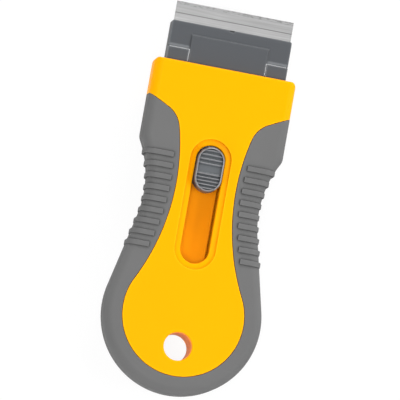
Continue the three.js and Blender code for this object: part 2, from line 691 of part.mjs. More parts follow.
function razorBlade() {
  const rear = bladeRearY + SPINE_WALL + SEAT_GAP;
  const middle = bladeZ + BLADE_THICKNESS / 2;
  const bevelY = tipY - BEVEL_DEPTH;
  const edge = BLADE_EDGE_THICKNESS / 2;
  const top = bladeZ + BLADE_THICKNESS;
  return bar([
    [rear, bladeZ], [bevelY, bladeZ], [tipY, middle - edge],
    [tipY, middle + edge], [bevelY, top], [rear, top],
  ], BLADE_WIDTH / 2);
}

// The spine is a strip folded over the back of the blade
function bladeSpine() {
  const slitLow = bladeZ - SEAT_GAP;
  const slitHigh = bladeZ + BLADE_THICKNESS + SEAT_GAP;
  const low = slitLow - SPINE_WALL;
  const high = slitHigh + SPINE_WALL;
  const front = bladeRearY + SPINE_DEPTH;
  const slitRear = bladeRearY + SPINE_WALL;
  return bar([
    [bladeRearY, low], [front, low], [front, slitLow], [slitRear, slitLow],
    [slitRear, slitHigh], [front, slitHigh], [front, high], [bladeRearY, high],
  ], BLADE_WIDTH / 2);
}

// The thumb button: a pill with a ribbed hollow in its top, held in by a wing on each side
function slideButton() {
  const rear = buttonY - BUTTON_LENGTH / 2;
  const front = buttonY + BUTTON_LENGTH / 2;
  const topZ = HANDLE_THICKNESS + BUTTON_STAND;
  const rings = [{ z: wingZ, move: 0 }];
  for (const share of FINE_EDGE.front) {
    const turn = share * Math.PI / 2;
    rings.push({
      z: topZ - BUTTON_EDGE_RADIUS * (1 - Math.sin(turn)),
      move: BUTTON_EDGE_RADIUS * (1 - Math.cos(turn)),
    });
  }
  const pill = loft(rings.map(({ z, move }) => (
    { z, plan: stadium(buttonHalf - move, rear + move, front - move) })));
  const reach = SLOT_WIDTH / 2 + WING_MARGIN;
  const wingHalf = WING_LENGTH / 2;
  const wings = block([-reach, buttonY - wingHalf, wingZ], [reach, buttonY + wingHalf, slideTopZ]);
  return pill.subtract(buttonHollow(topZ)).add(wings);
}

// What is cut from the button's top: ribs across it that step down to a smooth middle
function buttonHollow(topZ) {
  const end = BUTTON_LENGTH / 2 - BUTTON_RIM;
  const middle = BUTTON_PLATEAU / 2;
  const ribs = (count, side) => {
    const pitch = (end - middle) / count;
    return Array.from({ length: count }, (_, i) => {
      const y = buttonY + side * (end - i * pitch);
      const crest = topZ - BUTTON_HOLLOW * (i + 1) / count;
      return [[y, crest - BUTTON_RIB_HEIGHT], [y - side * pitch / 2, crest]];
    }).flat();
  };
  const profile = [
    [buttonY - end, 2 * topZ],
    ...ribs(BUTTON_REAR_RIBS, -1),
    [buttonY - middle, topZ - BUTTON_HOLLOW - BUTTON_RIB_HEIGHT],
    [buttonY + middle, topZ - BUTTON_HOLLOW - BUTTON_RIB_HEIGHT],
    ...ribs(BUTTON_FRONT_RIBS, 1).reverse(),
    [buttonY + end, 2 * topZ],
  ];
  const plan = stadium(buttonHalf - BUTTON_RIM, buttonY - end, buttonY + end);
  return bar(profile, buttonHalf).intersect(prism(plan, 0, 2 * topZ));
}

// A leaf fixed ahead of the button: it rises to a crest under it, with an ear on each side
function lockSpring() {
  const foot = tongueZ + SEAT_GAP;
  const crest = wingZ - SEAT_GAP - SPRING_THICKNESS;
  const half = EAR_LENGTH / 2;
  const under = [
    [rivetY + RIVET_HEAD_RADIUS + RUN_GAP, foot], [buttonY + BUTTON_LENGTH / 2, foot],
    [buttonY + SPRING_CREST / 2, crest], [buttonY - SPRING_CREST / 2, crest],
    [buttonY - SPRING_CREST / 2 - SPRING_FOOT, foot],
  ];
  const over = under.map(([y, z]) => [y, z + SPRING_THICKNESS]).reverse();
  const leaf = bar([...under, ...over], SPRING_WIDTH / 2);
  const earX = TONGUE_HALF + RUN_GAP + RACK_WIDTH / 2;
  const cross = block([-earX, buttonY - half, crest], [earX, buttonY + half, crest + SPRING_THICKNESS]);
  const ears = [-1, 1].map((side) => block(
    [side * earX - SPRING_THICKNESS / 2, buttonY - half, crest],
    [side * earX + SPRING_THICKNESS / 2, buttonY + half, rackZ + EAR_BITE]));
  return joined(leaf, cross, ...ears)
    .subtract(post(0, rivetY, RIVET_RADIUS + SCREW_GAP, 0, 2 * HANDLE_THICKNESS));
}

function springRivet() {
  const seat = tongueZ + 2 * SEAT_GAP + SPRING_THICKNESS;
  const head = seat + RIVET_HEAD_HEIGHT;
  const profile = [
    [0, grooveZ], [RIVET_RADIUS, grooveZ], [RIVET_RADIUS, seat], [RIVET_HEAD_RADIUS, seat],
    [RIVET_HEAD_RADIUS, (seat + head) / 2], [RIVET_RADIUS, head], [0, head],
  ];
  return turned(profile, 0, rivetY);
}

// A profile of (radius, z) points turned about an upright axis
function turned(profile, x, y) {
  const points = profile.map(([radius, z]) => new THREE.Vector2(radius, z));
  return solid(new THREE.LatheGeometry(points, ROUND_SIDES).rotateX(Math.PI / 2).translate(x, y, 0));
}

function shellScrew(x, y) {
  const seat = SCREW_SINK + SCREW_HEAD_HEIGHT;
  const end = seat + SCREW_LENGTH;
  const dome = SCREW_SINK + SCREW_HEAD_HEIGHT / 3;
  return turned([
    [0, SCREW_SINK], [SCREW_CROWN_RADIUS, SCREW_SINK], [SCREW_HEAD_RADIUS, dome],
    [SCREW_HEAD_RADIUS, seat], [SCREW_RADIUS, seat], [SCREW_RADIUS, end - SCREW_TIP], [0, end],
  ], x, y);
}

const scraper = new THREE.Group();
scraper.position.y = (TAIL_RADIUS - tipY) / 2;

function place(name, body, material) {
  const mesh = new THREE.Mesh(geometryOf(body), material);
  mesh.name = name;
  scraper.add(mesh);
}

place("front_shell", frontShell(), colours.yellow);
place("rear_shell", rearShell(), colours.yellow);
place("front_grip", softHalf(frontPanel, frontHalf, 0), colours.softGrey);
place("rear_grip", softHalf(rearPanel, rearHalf, REAR_RIB_FLOOR), colours.softGrey);
place("guide_rail", guideRail(), colours.orange);
place("blade_carrier", bladeCarrier(), colours.darkGrey);
place("blade_clamp", bladeClamp(), colours.darkGrey);
place("razor_blade", razorBlade(), colours.blade);
place("blade_spine", bladeSpine(), colours.aluminium);
place("slide_button", slideButton(), colours.midGrey);
place("lock_spring", lockSpring(), colours.spring);
place("spring_rivet", springRivet(), colours.zinc);
screwPlaces.forEach(([x, y], i) => place(`shell_screw_${i + 1}`, shellScrew(x, y), colours.zinc));

export default scraper;
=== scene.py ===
"""Looks of the retractable scraper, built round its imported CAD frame.

Sizes are millimetres from the centre of the round tail, +Y towards the blade, and the meshes are in metres.
"""
import math

import bmesh
import bpy
from mathutils import Matrix, Vector

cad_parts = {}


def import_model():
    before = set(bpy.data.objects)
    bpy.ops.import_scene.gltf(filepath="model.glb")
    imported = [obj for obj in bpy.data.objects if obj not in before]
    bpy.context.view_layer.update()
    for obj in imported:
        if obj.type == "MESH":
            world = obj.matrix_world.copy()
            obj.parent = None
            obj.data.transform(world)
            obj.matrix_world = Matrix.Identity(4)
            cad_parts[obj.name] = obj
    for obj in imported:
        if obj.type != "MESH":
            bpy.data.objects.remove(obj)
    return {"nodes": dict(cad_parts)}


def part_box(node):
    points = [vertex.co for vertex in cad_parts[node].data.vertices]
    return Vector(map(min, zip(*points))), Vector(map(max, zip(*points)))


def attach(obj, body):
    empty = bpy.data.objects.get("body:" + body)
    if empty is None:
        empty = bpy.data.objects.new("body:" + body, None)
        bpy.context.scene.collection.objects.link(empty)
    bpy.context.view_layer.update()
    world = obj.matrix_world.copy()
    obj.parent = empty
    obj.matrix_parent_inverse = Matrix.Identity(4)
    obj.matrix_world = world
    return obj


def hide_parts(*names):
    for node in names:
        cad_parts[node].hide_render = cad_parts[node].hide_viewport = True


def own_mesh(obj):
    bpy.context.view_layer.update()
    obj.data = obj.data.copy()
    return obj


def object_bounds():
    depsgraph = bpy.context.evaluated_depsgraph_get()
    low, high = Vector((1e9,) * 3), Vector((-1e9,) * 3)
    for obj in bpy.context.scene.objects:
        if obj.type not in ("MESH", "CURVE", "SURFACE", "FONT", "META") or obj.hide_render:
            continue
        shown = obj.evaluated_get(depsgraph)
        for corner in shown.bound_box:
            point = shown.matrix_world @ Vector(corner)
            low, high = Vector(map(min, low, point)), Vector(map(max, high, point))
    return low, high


MM = 0.001
IMAGE_SIZE = 400

# Handle
TAIL_RADIUS = 25.39
THICKNESS = 14.0
WAIST_HALF = 18.4
WAIST_RADIUS = 34.0
WAIST_RISE = 37.0
SHOULDER_RADIUS = 4.0
HEAD_HALF = 23.0
HEAD_CORNER = (1.6, 2.0)
HEAD_WALL = 3.15
FRONT_EDGE_RADIUS = 3.0
REAR_EDGE = (4.5, 6.0)
MOUTH_RISE = 80.0
MOUTH_EDGE_RADIUS = 0.8
PARTING_HEIGHT = 7.6
PARTING_GAP = 0.1
PARTING_ROUND = 0.2
FRONT_WALL = 2.4
REAR_WALL = 2.2
RAMP_RISE = 2.65
BLADE_REACH = 19.0

# Hang hole and screws
HOLE_RADIUS = 4.5
HOLE_DROP = 10.0
HOLE_ROUND = 0.5
HOLE_WALL = 1.6
SCREW_NODES = ("shell_screw_1", "shell_screw_2", "shell_screw_3", "shell_screw_4")
SCREW_RADIUS = 1.3
SCREW_HEAD_RADIUS = 2.3
SCREW_HEAD_HEIGHT = 1.5
SCREW_CROWN_RADIUS = 1.6
SCREW_SINK = 0.5
SCREW_END = 10.0
SCREW_TIP = 2.6
SCREW_GAP = 0.15
BOSS_WALL = 1.0

# Soft grips
GRIP_THICKNESS = 1.2
BOND_GAP = 0.15
SEAM_ROUND = 0.22
PANEL_TAIL_RADIUS = 19.6
PANEL_WAIST_HALF = 9.7
PANEL_WAIST_RISE = 41.4
FIN_TOP_RISE = 67.9
FIN_SLOPE = math.radians(26.6)
FIN_RADIUS = 8.6
REAR_BAND = 5.2
RIB_COUNT = 9
RIB_PITCH = 3.7
RIB_WIDTH = 1.75
RIB_HEIGHT = 0.4
RIB_ROUND = 0.28
RIB_SINK = 0.5
RIB_MARGIN = 1.8
RIB_MIDDLE_RISE = 35.0
REAR_RIB_FLOOR = 1.4

# Thumb slot, rail and button
SLOT_HALF = 4.65
SLOT_REAR = 16.873
SLOT_FRONT = 54.95
DISH_MARGIN = 1.95
DISH_DEPTH = 0.9
DISH_STEP = 0.45
SLOT_ROUND = 0.35
CREASE_ROUND = 0.35
RIM_ROUND = 0.15
SLIDE_TRAVEL = 22.277
RACK_WIDTH = 1.7
RACK_DEPTH = 1.1
NOTCH_HALF = 1.5
RUNNER_SPREAD = 12.0
RUNNER_WIDTH = 1.6
RUNNER_REAR = 42.323
RUNNER_TOP = 4.85
FENCE_HEIGHT = 1.5
FENCE_WIDTH = 1.0
RAIL_HALF = 4.5
RAIL_WALL = 1.4
RAIL_ROUND = 0.5
BUTTON_HALF = 4.4
BUTTON_ROUND = 0.7
BUTTON_RIM = 0.55
BUTTON_HOLLOW = 0.6
BUTTON_PLATEAU = 2.0
BUTTON_RIBS = {"front": 4, "rear": 5}
BUTTON_RIB_HEIGHT = 0.45
BUTTON_RIB_STEPS = 160
BUTTON_WING = 8.0
WING_HEIGHT = 1.0

# Slide, blade and screws
SLIDE_ROUND = 0.25
BEVEL_DEPTH = 3.8
RECESS = (1.25, 0.3)
RECESS_DEPTH = 0.7

# Finishes: sizes in millimetres, tones as shares of a base colour
CLOUD_SIZE = 14.0
# Reach of the painted shade that darkens creases
CREASE_SHADE_REACH = 1.0
# Reach of the edge tone, partly wear and partly painted highlight
EDGE_WEAR_HIGHLIGHT_REACH = 0.5
OPEN_SHARE = 0.96
CLOSED_SHARE = 0.6
CLOSENESS_SAMPLES = 6
METAL_SHADE = 0.85
STEEL = "999999"
STEEL_BODY = (0.62, 1.15)
STEEL_HONED = (0.66, 1.12)
STEEL_LINE = 0.3
STEEL_WORN = 0.4
LINE_WIDTH = 0.15
LINE_FADE = 0.3
WEAR_DEPTH = (1.1, 0.8)
WEAR_RANGE = (0.5, 0.62)
WEAR_STRENGTH = 0.6

# Stage: places in the row frame, in millimetres; powers in watts
CAMERA_TARGET = (-0.5842, 0.8389, 8.75)
CAMERA_LEAN = (math.radians(6.738), math.radians(6.334))
CAMERA_ROLL = math.radians(10.054)
CAMERA_DISTANCE = 2000.0
PIXELS_PER_MM = 3.145
FLOOR_SIZE = 4000.0
FLOOR_DROP = 0.05
FLOOR_GLOW = 0.92
SKY_STRENGTH = {"overhead": 0.3, "sides": 0.8}
SKY_BAND = (0.2, 0.85)
LAMPS = {
    "key": ((520, -60, 400), 240.0, 2.2),
    "top": ((-150, -130, 800), 400.0, 3.5),
    "back": ((60, 600, 260), 260.0, 2.6),
    "side": ((-400, -520, 200), 220.0, 1.3),
}

# Facets of a full arc of each kind, and angles in degrees past which an edge is rolled or kept sharp
TAIL_STEPS = 64
WAIST_STEPS = 40
CORNER_STEPS = 12
ROUND_STEPS = 32
EDGE_STEPS = 14
CURVE_STEPS = 6
ROLL_STEPS = 3
ROLL_ANGLE = 30
SHARP_ANGLE = 34

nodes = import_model()["nodes"]
cad_low, cad_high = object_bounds()
TAIL_SHIFT = cad_high.y / MM - MOUTH_RISE - BLADE_REACH


# Meshes

def place(x, y, z):
    """A point given from the tail's centre, in the row frame."""
    return Vector((x, y + TAIL_SHIFT, z)) * MM


def new_object(name, points, faces, edges=()):
    mesh = bpy.data.meshes.new(name)
    mesh.from_pydata([place(*point) for point in points], list(edges), faces)
    piece = bpy.data.objects.new(name, mesh)
    bpy.context.scene.collection.objects.link(piece)
    return piece


def loft(name, rings):
    """A closed body through plan outlines at rising heights; each ring is (height, plan points)."""
    count = len(rings[0][1])
    points = [(x, y, z) for z, plan in rings for x, y in plan]
    faces = [
        (low + i, low + (i + 1) % count, low + count + (i + 1) % count, low + count + i)
        for low in range(0, count * (len(rings) - 1), count)
        for i in range(count)
    ]
    top = count * (len(rings) - 1)
    faces += [tuple(reversed(range(count))), tuple(range(top, top + count))]
    return new_object(name, points, faces)


def prism(name, plan, low, high):
    return loft(name, [(low, plan), (high, plan)])


def block(name, low, high):
    plan = [(low[0], low[1]), (high[0], low[1]), (high[0], high[1]), (low[0], high[1])]
    return prism(name, plan, low[2], high[2])


def bar(name, profile, half):
    """A side profile of (y, z) points, anticlockwise seen from +X, drawn out across the handle."""
    count = len(profile)
    points = [(side * half, y, z) for side in (-1, 1) for y, z in profile]
    faces = [(i, (i + 1) % count, count + (i + 1) % count, count + i) for i in range(count)]
    faces += [tuple(reversed(range(count))), tuple(range(count, 2 * count))]
    return new_object(name, points, faces)


def settle(piece):
    """Turns what a piece's modifiers make into its plain mesh."""
    bpy.context.view_layer.update()
    shown = piece.evaluated_get(bpy.context.evaluated_depsgraph_get())
    mesh = bpy.data.meshes.new_from_object(shown)
    piece.modifiers.clear()
    piece.data = mesh
    return piece


def combine(piece, operation, *others):
    """Cuts, joins or meets a closed piece with others, which are used up."""
    for other in others:
        step = piece.modifiers.new(operation, "BOOLEAN")
        step.operation = operation
        step.solver = "MANIFOLD"
        step.object = other
    settle(piece)
    for other in others:
        bpy.data.objects.remove(other)
    return piece


def cut(piece, *others):
    return combine(piece, "DIFFERENCE", *others)


def join(piece, *others):
    return combine(piece, "UNION", *others)


def meet(piece, *others):
    return combine(piece, "INTERSECT", *others)


def round_edges(piece, width):
    """Rolls the sharp edges of a copy of a CAD node."""
    mesh = bmesh.new()
    mesh.from_mesh(piece.data)
    bmesh.ops.remove_doubles(mesh, verts=mesh.verts, dist=1e-6)
    bmesh.ops.dissolve_limit(
        mesh, angle_limit=math.radians(1), verts=mesh.verts, edges=mesh.edges)
    mesh.to_mesh(piece.data)
    mesh.free()
    roll = piece.modifiers.new("roll", "BEVEL")
    roll.width = width * MM
    roll.segments = ROLL_STEPS
    roll.limit_method = "ANGLE"
    roll.angle_limit = math.radians(ROLL_ANGLE)
    roll.use_clamp_overlap = True
    return settle(piece)


def copy_node(node, name):
    piece = bpy.data.objects.new(name, nodes[node].data.copy())
    bpy.context.scene.collection.objects.link(piece)
    return piece


def dress(piece, material, slot, body, *stands_for):
    """Gives a finished piece its shading, material and place in the assembly."""
    mesh = bmesh.new()
    mesh.from_mesh(piece.data)
    bmesh.ops.remove_doubles(mesh, verts=mesh.verts, dist=1e-7)
    bmesh.ops.dissolve_degenerate(mesh, edges=mesh.edges, dist=1e-7)
    mesh.to_mesh(piece.data)
    mesh.free()
    piece.data.materials.clear()
    piece.data.materials.append(material)
    piece.data.shade_smooth()
    piece.data.set_sharp_from_angle(angle=math.radians(SHARP_ANGLE))
    weights = piece.modifiers.new("weights", "WEIGHTED_NORMAL")
    weights.keep_sharp = True
    settle(piece)
    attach(piece, body)
    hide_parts(*stands_for)
    return piece


# Outlines

def arc(centre, radius, start, end, steps):
    across, along = radius if isinstance(radius, tuple) else (radius, radius)
    turns = [start + (end - start) * i / steps for i in range(steps + 1)]
    return [(centre[0] + across * math.cos(t), centre[1] + along * math.sin(t)) for t in turns]


def mirrored(points):
    return [(-x, y) for x, y in reversed(points)]


def stadium(half, rear, front):
    return (arc((0, front - half), half, 0, math.pi, ROUND_STEPS)
            + arc((0, rear + half), half, math.pi, 2 * math.pi, ROUND_STEPS))


def outline(inset, mouth_inset=0.0):
    """The handle's outline moved in, anticlockwise from the tail."""
    waist = (WAIST_HALF + WAIST_RADIUS, WAIST_RISE)
    reach = math.hypot(*waist)
    flank = math.atan2(waist[1], waist[0]) - math.acos((TAIL_RADIUS + WAIST_RADIUS) / reach)
    turn = max(SHOULDER_RADIUS - inset, SHOULDER_RADIUS / 10)
    shoulder_x = HEAD_HALF - inset - turn
    away = WAIST_RADIUS + inset + turn
    shoulder = (shoulder_x, waist[1] + math.sqrt(away ** 2 - (waist[0] - shoulder_x) ** 2))
    lean = math.atan2(shoulder[1] - waist[1], shoulder[0] - waist[0])
    across = max(HEAD_CORNER[0] - inset, HEAD_CORNER[0] / 4)
    along = max(HEAD_CORNER[1] - inset, HEAD_CORNER[1] / 4)
    corner = (HEAD_HALF - inset - across, MOUTH_RISE - mouth_inset - along)
    right = arc((0, 0), TAIL_RADIUS - inset, -math.pi / 2, flank, TAIL_STEPS)
    right += arc(waist, WAIST_RADIUS + inset, math.pi + flank, lean, WAIST_STEPS)
    right += arc(shoulder, turn, lean - math.pi, 0, CORNER_STEPS)[1:]
    right += arc(corner, (across, along), 0, math.pi / 2, CORNER_STEPS)
    return right + mirrored(right[1:])


def front_rings(depth, through=False):
    """The front half of the handle's skin, moved in by a depth, with its rolled edge."""
    roof = THICKNESS - depth
    roll = FRONT_EDGE_RADIUS - depth
    rings = [(PARTING_HEIGHT, depth + PARTING_ROUND, 0.0), (PARTING_HEIGHT + PARTING_ROUND, depth, 0.0)]
    if through:
        rings = [(PARTING_HEIGHT - FRONT_WALL, depth, 0.0)]
    for i in range(EDGE_STEPS + 1):
        turn = math.pi / 2 * i / EDGE_STEPS
        fall = 1 - math.cos(turn)
        rings.append((roof - roll * (1 - math.sin(turn)), depth + roll * fall, MOUTH_EDGE_RADIUS * fall))
    return [(z, outline(inset, mouth)) for z, inset, mouth in rings]


def rear_rings(depth, through=False):
    """The rear half of the handle's skin, moved in by a depth, with its deeper roll."""
    wide, height = REAR_EDGE[0] - depth, REAR_EDGE[1] - depth
    rings = []
    for i in range(EDGE_STEPS + 1):
        turn = math.pi / 2 * i / EDGE_STEPS
        rings.append((depth + height * (1 - math.cos(turn)), depth + wide * (1 - math.sin(turn))))
    seam = PARTING_HEIGHT - PARTING_GAP
    if through:
        rings.append((seam + REAR_WALL, depth))
    else:
        rings += [(seam - PARTING_ROUND, depth), (seam, depth + PARTING_ROUND)]
    return [(z, outline(inset)) for z, inset in rings]


def fin_line(x, lift):
    return FIN_TOP_RISE - (HEAD_HALF - x) * math.tan(FIN_SLOPE) + lift / math.cos(FIN_SLOPE)


def front_panel(margin):
    """The yellow face between the front grip's arms, grown by a margin."""
    narrowing = PANEL_TAIL_RADIUS - PANEL_WAIST_HALF
    tail_reach = PANEL_TAIL_RADIUS ** 2 - PANEL_WAIST_HALF ** 2
    waist_radius = (PANEL_WAIST_RISE ** 2 - tail_reach) / (2 * narrowing)
    centre = Vector((PANEL_WAIST_HALF + waist_radius, PANEL_WAIST_RISE))
    meeting = math.atan2(centre.y, centre.x)
    along = Vector((math.cos(FIN_SLOPE), math.sin(FIN_SLOPE)))
    start = Vector((0, fin_line(0, -FIN_RADIUS))) - centre
    forward = start.dot(along)
    inner = waist_radius - FIN_RADIUS
    run = -forward - math.sqrt(forward ** 2 - start.length_squared + inner ** 2)
    fin = centre + start + along * run
    fin_angle = math.atan2(fin.y - centre.y, fin.x - centre.x)
    far = 2 * HEAD_HALF
    right = arc((0, 0), PANEL_TAIL_RADIUS + margin, -math.pi / 2, meeting, TAIL_STEPS)
    right += arc(centre, waist_radius - margin, math.pi + meeting, fin_angle, WAIST_STEPS)[1:]
    right += arc(fin, FIN_RADIUS - margin, fin_angle, FIN_SLOPE + math.pi / 2, CORNER_STEPS)[1:]
    right += [(far, fin_line(far, -margin)), (far, MOUTH_RISE + far)]
    return right + mirrored(right[1:])


def seam_panel(name, margin, flare):
    """The front panel as a cutter whose top edge leans out or in, to round the seam."""
    low = -THICKNESS
    rings = [(low, front_panel(margin))]
    steps = CORNER_STEPS // 2
    for i in range(steps + 1):
        turn = math.pi / 2 * i / steps
        height = THICKNESS - SEAM_ROUND * (1 - math.sin(turn))
        rings.append((height, front_panel(margin + flare * (1 - math.cos(turn)))))
    rings.append((2 * THICKNESS, rings[-1][1]))
    return loft(name, rings)


def rear_panel(name, margin):
    """The yellow back between the rear grip's arms: the flat, and the head above the fins."""
    far = 2 * HEAD_HALF
    head = [(far, fin_line(far, -margin)), (far, MOUTH_RISE + far)]
    flat = prism(name, outline(REAR_BAND - margin), -THICKNESS, 2 * THICKNESS)
    top = prism("head", [(0, fin_line(0, -margin))] + head + mirrored(head), -THICKNESS, 2 * THICKNESS)
    return join(flat, top)


def curve_through(start, corner, end):
    """Points of a round from start to end that keeps inside a corner."""
    points = []
    for i in range(CURVE_STEPS + 1):
        t = i / CURVE_STEPS
        points.append(tuple((1 - t) ** 2 * a + 2 * t * (1 - t) * b + t ** 2 * c
                            for a, b, c in zip(start, corner, end)))
    return points


def hollow(name):
    """The room inside the handle, open at the mouth."""
    reach = -BLADE_REACH
    inset_end, height = REAR_EDGE[0] - REAR_WALL, REAR_EDGE[1] - REAR_WALL
    rings = []
    for i in range(CORNER_STEPS + 1):
        turn = math.pi / 2 * i / CORNER_STEPS
        inset = HEAD_WALL + inset_end * (1 - math.sin(turn))
        rings.append((REAR_WALL + height * (1 - math.cos(turn)), outline(inset, reach)))
    rings.append((THICKNESS - FRONT_WALL, outline(HEAD_WALL, reach)))
    return cut(loft(name, rings), head_ramp("ramp", REAR_WALL))


def head_ramp(name, lift):
    """The wedge below the head's back, which rises from the grips to the mouth."""
    slope = RAMP_RISE / (MOUTH_RISE - FIN_TOP_RISE)
    far = MOUTH_RISE + 2 * BLADE_REACH
    deep = -THICKNESS
    start = curve_through(
        (FIN_TOP_RISE + 2, lift + 2 * slope), (FIN_TOP_RISE, lift), (FIN_TOP_RISE - 2, lift))
    profile = [(FIN_TOP_RISE - 2, deep), (far, deep), (far, lift + slope * (far - FIN_TOP_RISE))] + start
    return bar(name, profile, 2 * HEAD_HALF)


def flared_post(name, x, y, radius, low, high, flare, at_low=False, at_high=False):
    """A round cutter that opens out at its ends, so that the hole it leaves has rolled edges."""
    turns = [math.pi / 2 * i / CORNER_STEPS for i in range(CORNER_STEPS + 1)]
    rolls = [(flare * (1 - math.sin(t)), radius + flare * (1 - math.cos(t))) for t in turns]
    rings = [(low, radius)]
    if at_low:
        rings = [(low - flare, radius + flare)] + [(low + rise, wide) for rise, wide in reversed(rolls)]
    if at_high:
        rings += [(high - rise, wide) for rise, wide in rolls] + [(high + flare, radius + flare)]
    else:
        rings += [(high, radius)]
    return loft(name, [(z, ring(x, y, wide)) for z, wide in rings])


def ring(x, y, radius):
    return arc((x, y), radius, 0, 2 * math.pi, 2 * ROUND_STEPS)[:-1]


def post(name, x, y, radius, low, high):
    return prism(name, ring(x, y, radius), low, high)


# Geometry Nodes for what repeats

def add(tree, kind, values=None, links=None, **settings):
    """Adds a node, sets its plain values and joins its inputs to other nodes' outputs."""
    node = tree.nodes.new(kind)
    for name, value in settings.items():
        setattr(node, name, value)
    for socket, value in (values or {}).items():
        node.inputs[socket].default_value = value
    for socket, source in (links or {}).items():
        tree.links.new(source, node.inputs[socket])
    return node


def geometry_tree(name, inputs):
    tree = bpy.data.node_groups.new(name, "GeometryNodeTree")
    for label, kind in inputs.items():
        tree.interface.new_socket(label, in_out="INPUT", socket_type=kind)
    tree.interface.new_socket("Geometry", in_out="OUTPUT", socket_type="NodeSocketGeometry")
    return tree, add(tree, "NodeGroupInput").outputs


def finish_tree(tree, geometry, material):
    whole = add(tree, "GeometryNodeRealizeInstances", links={"Geometry": geometry})
    coloured = add(tree, "GeometryNodeSetMaterial",
                   links={"Geometry": whole.outputs["Geometry"], "Material": material})
    add(tree, "NodeGroupOutput", links={"Geometry": coloured.outputs["Geometry"]})
    return tree


def grow(piece, tree, values):
    """Runs a tree on a piece and keeps the plain mesh that it makes."""
    step = piece.modifiers.new(tree.name, "NODES")
    step.node_group = tree
    for item in tree.interface.items_tree:
        if item.item_type == "SOCKET" and item.name in values:
            step[item.identifier] = values[item.name]
    return settle(piece)


def rib_tree():
    """Sweeps a flat-topped bar with small rounds along each path of a mesh."""
    tree, given = geometry_tree("grip_ribs", {
        "Paths": "NodeSocketGeometry", "Width": "NodeSocketFloat", "Height": "NodeSocketFloat",
        "Round": "NodeSocketFloat", "Material": "NodeSocketMaterial"})
    path = add(tree, "GeometryNodeMeshToCurve", links={"Mesh": given["Paths"]})
    flat = add(tree, "GeometryNodeSetCurveNormal", {"Normal": (0, 1, 0)},
               {"Curve": path.outputs["Curve"]}, mode="FREE")
    section = add(tree, "GeometryNodeCurvePrimitiveQuadrilateral",
                  links={"Width": given["Width"], "Height": given["Height"]})
    rounded = add(tree, "GeometryNodeFilletCurve", {"Count": 3},
                  {"Curve": section.outputs["Curve"], "Radius": given["Round"]}, mode="POLY")
    swept = add(tree, "GeometryNodeCurveToMesh", {"Fill Caps": True},
                {"Curve": flat.outputs["Curve"], "Profile Curve": rounded.outputs["Curve"]})
    return finish_tree(tree, swept.outputs["Mesh"], given["Material"])


def screw_tree():
    """Sets one screw at each point of a mesh."""
    tree, given = geometry_tree("shell_screws", {
        "Places": "NodeSocketGeometry", "Screw": "NodeSocketObject", "Material": "NodeSocketMaterial"})
    screw = add(tree, "GeometryNodeObjectInfo", links={"Object": given["Screw"]})
    spread = add(tree, "GeometryNodeInstanceOnPoints",
                 links={"Points": given["Places"], "Instance": screw.outputs["Geometry"]})
    return finish_tree(tree, spread.outputs["Instances"], given["Material"])


# Materials

def shade(code, gain=1.0):
    """An sRGB hex colour as linear light."""
    channels = [int(code[i:i + 2], 16) / 255 for i in (0, 2, 4)]
    light = [c / 12.92 if c <= 0.04045 else ((c + 0.055) / 1.055) ** 2.4 for c in channels]
    return [gain * c for c in light] + [1.0]


def new_material(name):
    material = bpy.data.materials.new(name)
    material.use_nodes = True
    tree = material.node_tree
    tree.nodes.clear()
    return material, tree, add(tree, "ShaderNodeTexCoord").outputs["Object"]


def surface(tree, colour, normal, roughness, specular=0.5, metallic=0.0):
    shader = add(tree, "ShaderNodeBsdfPrincipled",
                 {"Roughness": roughness, "Specular IOR Level": specular, "Metallic": metallic},
                 {"Base Color": colour, "Normal": normal})
    add(tree, "ShaderNodeOutputMaterial", links={"Surface": shader.outputs["BSDF"]})


def mix_colours(tree, share, first, second):
    links = {0: share}
    values = {}
    for socket, colour in ((6, first), (7, second)):
        (values if isinstance(colour, list) else links)[socket] = colour
    return add(tree, "ShaderNodeMix", values, links, data_type="RGBA").outputs[2]


def closeness(tree, reach, inside):
    """How much of a piece's own surface is near: 1 in a crease, or inside on an edge, and 0 on a flat."""
    near = add(tree, "ShaderNodeAmbientOcclusion", {"Distance": reach * MM},
               inside=inside, only_local=True, samples=CLOSENESS_SAMPLES)
    return add(tree, "ShaderNodeMapRange", {"From Min": OPEN_SHARE, "From Max": CLOSED_SHARE},
               {"Value": near.outputs["AO"]}).outputs["Result"]


def moulded(name, code, crease, edge, grain, depth, dark, **values):
    """Moulded plastic or rubber: a fine grain, cloudy tone, painted shade in creases, and edges lightened
    partly by wear and partly by a painted highlight.
    """
    material, tree, where = new_material(name)
    cloud = add(tree, "ShaderNodeTexNoise", {"Scale": 1 / (CLOUD_SIZE * MM), "Detail": 1.0},
                {"Vector": where})
    tone = mix_colours(tree, cloud.outputs["Fac"], shade(code, dark), shade(code, 2 - dark))
    # Edges lighten towards the edge colour: partly wear, partly a painted highlight
    tone = mix_colours(tree, closeness(tree, EDGE_WEAR_HIGHLIGHT_REACH, True), tone, shade(edge))
    # Painted shade: creases darken towards the crease colour, standing in for the shade that falls there
    tone = mix_colours(tree, closeness(tree, CREASE_SHADE_REACH, False), tone, shade(crease))
    pits = add(tree, "ShaderNodeTexNoise", {"Scale": 1 / (grain * MM), "Detail": 2.0}, {"Vector": where})
    bump = add(tree, "ShaderNodeBump", {"Strength": 1.0, "Distance": depth * MM},
               {"Height": pits.outputs["Fac"]})
    surface(tree, tone, bump.outputs["Normal"], **values)
    return material


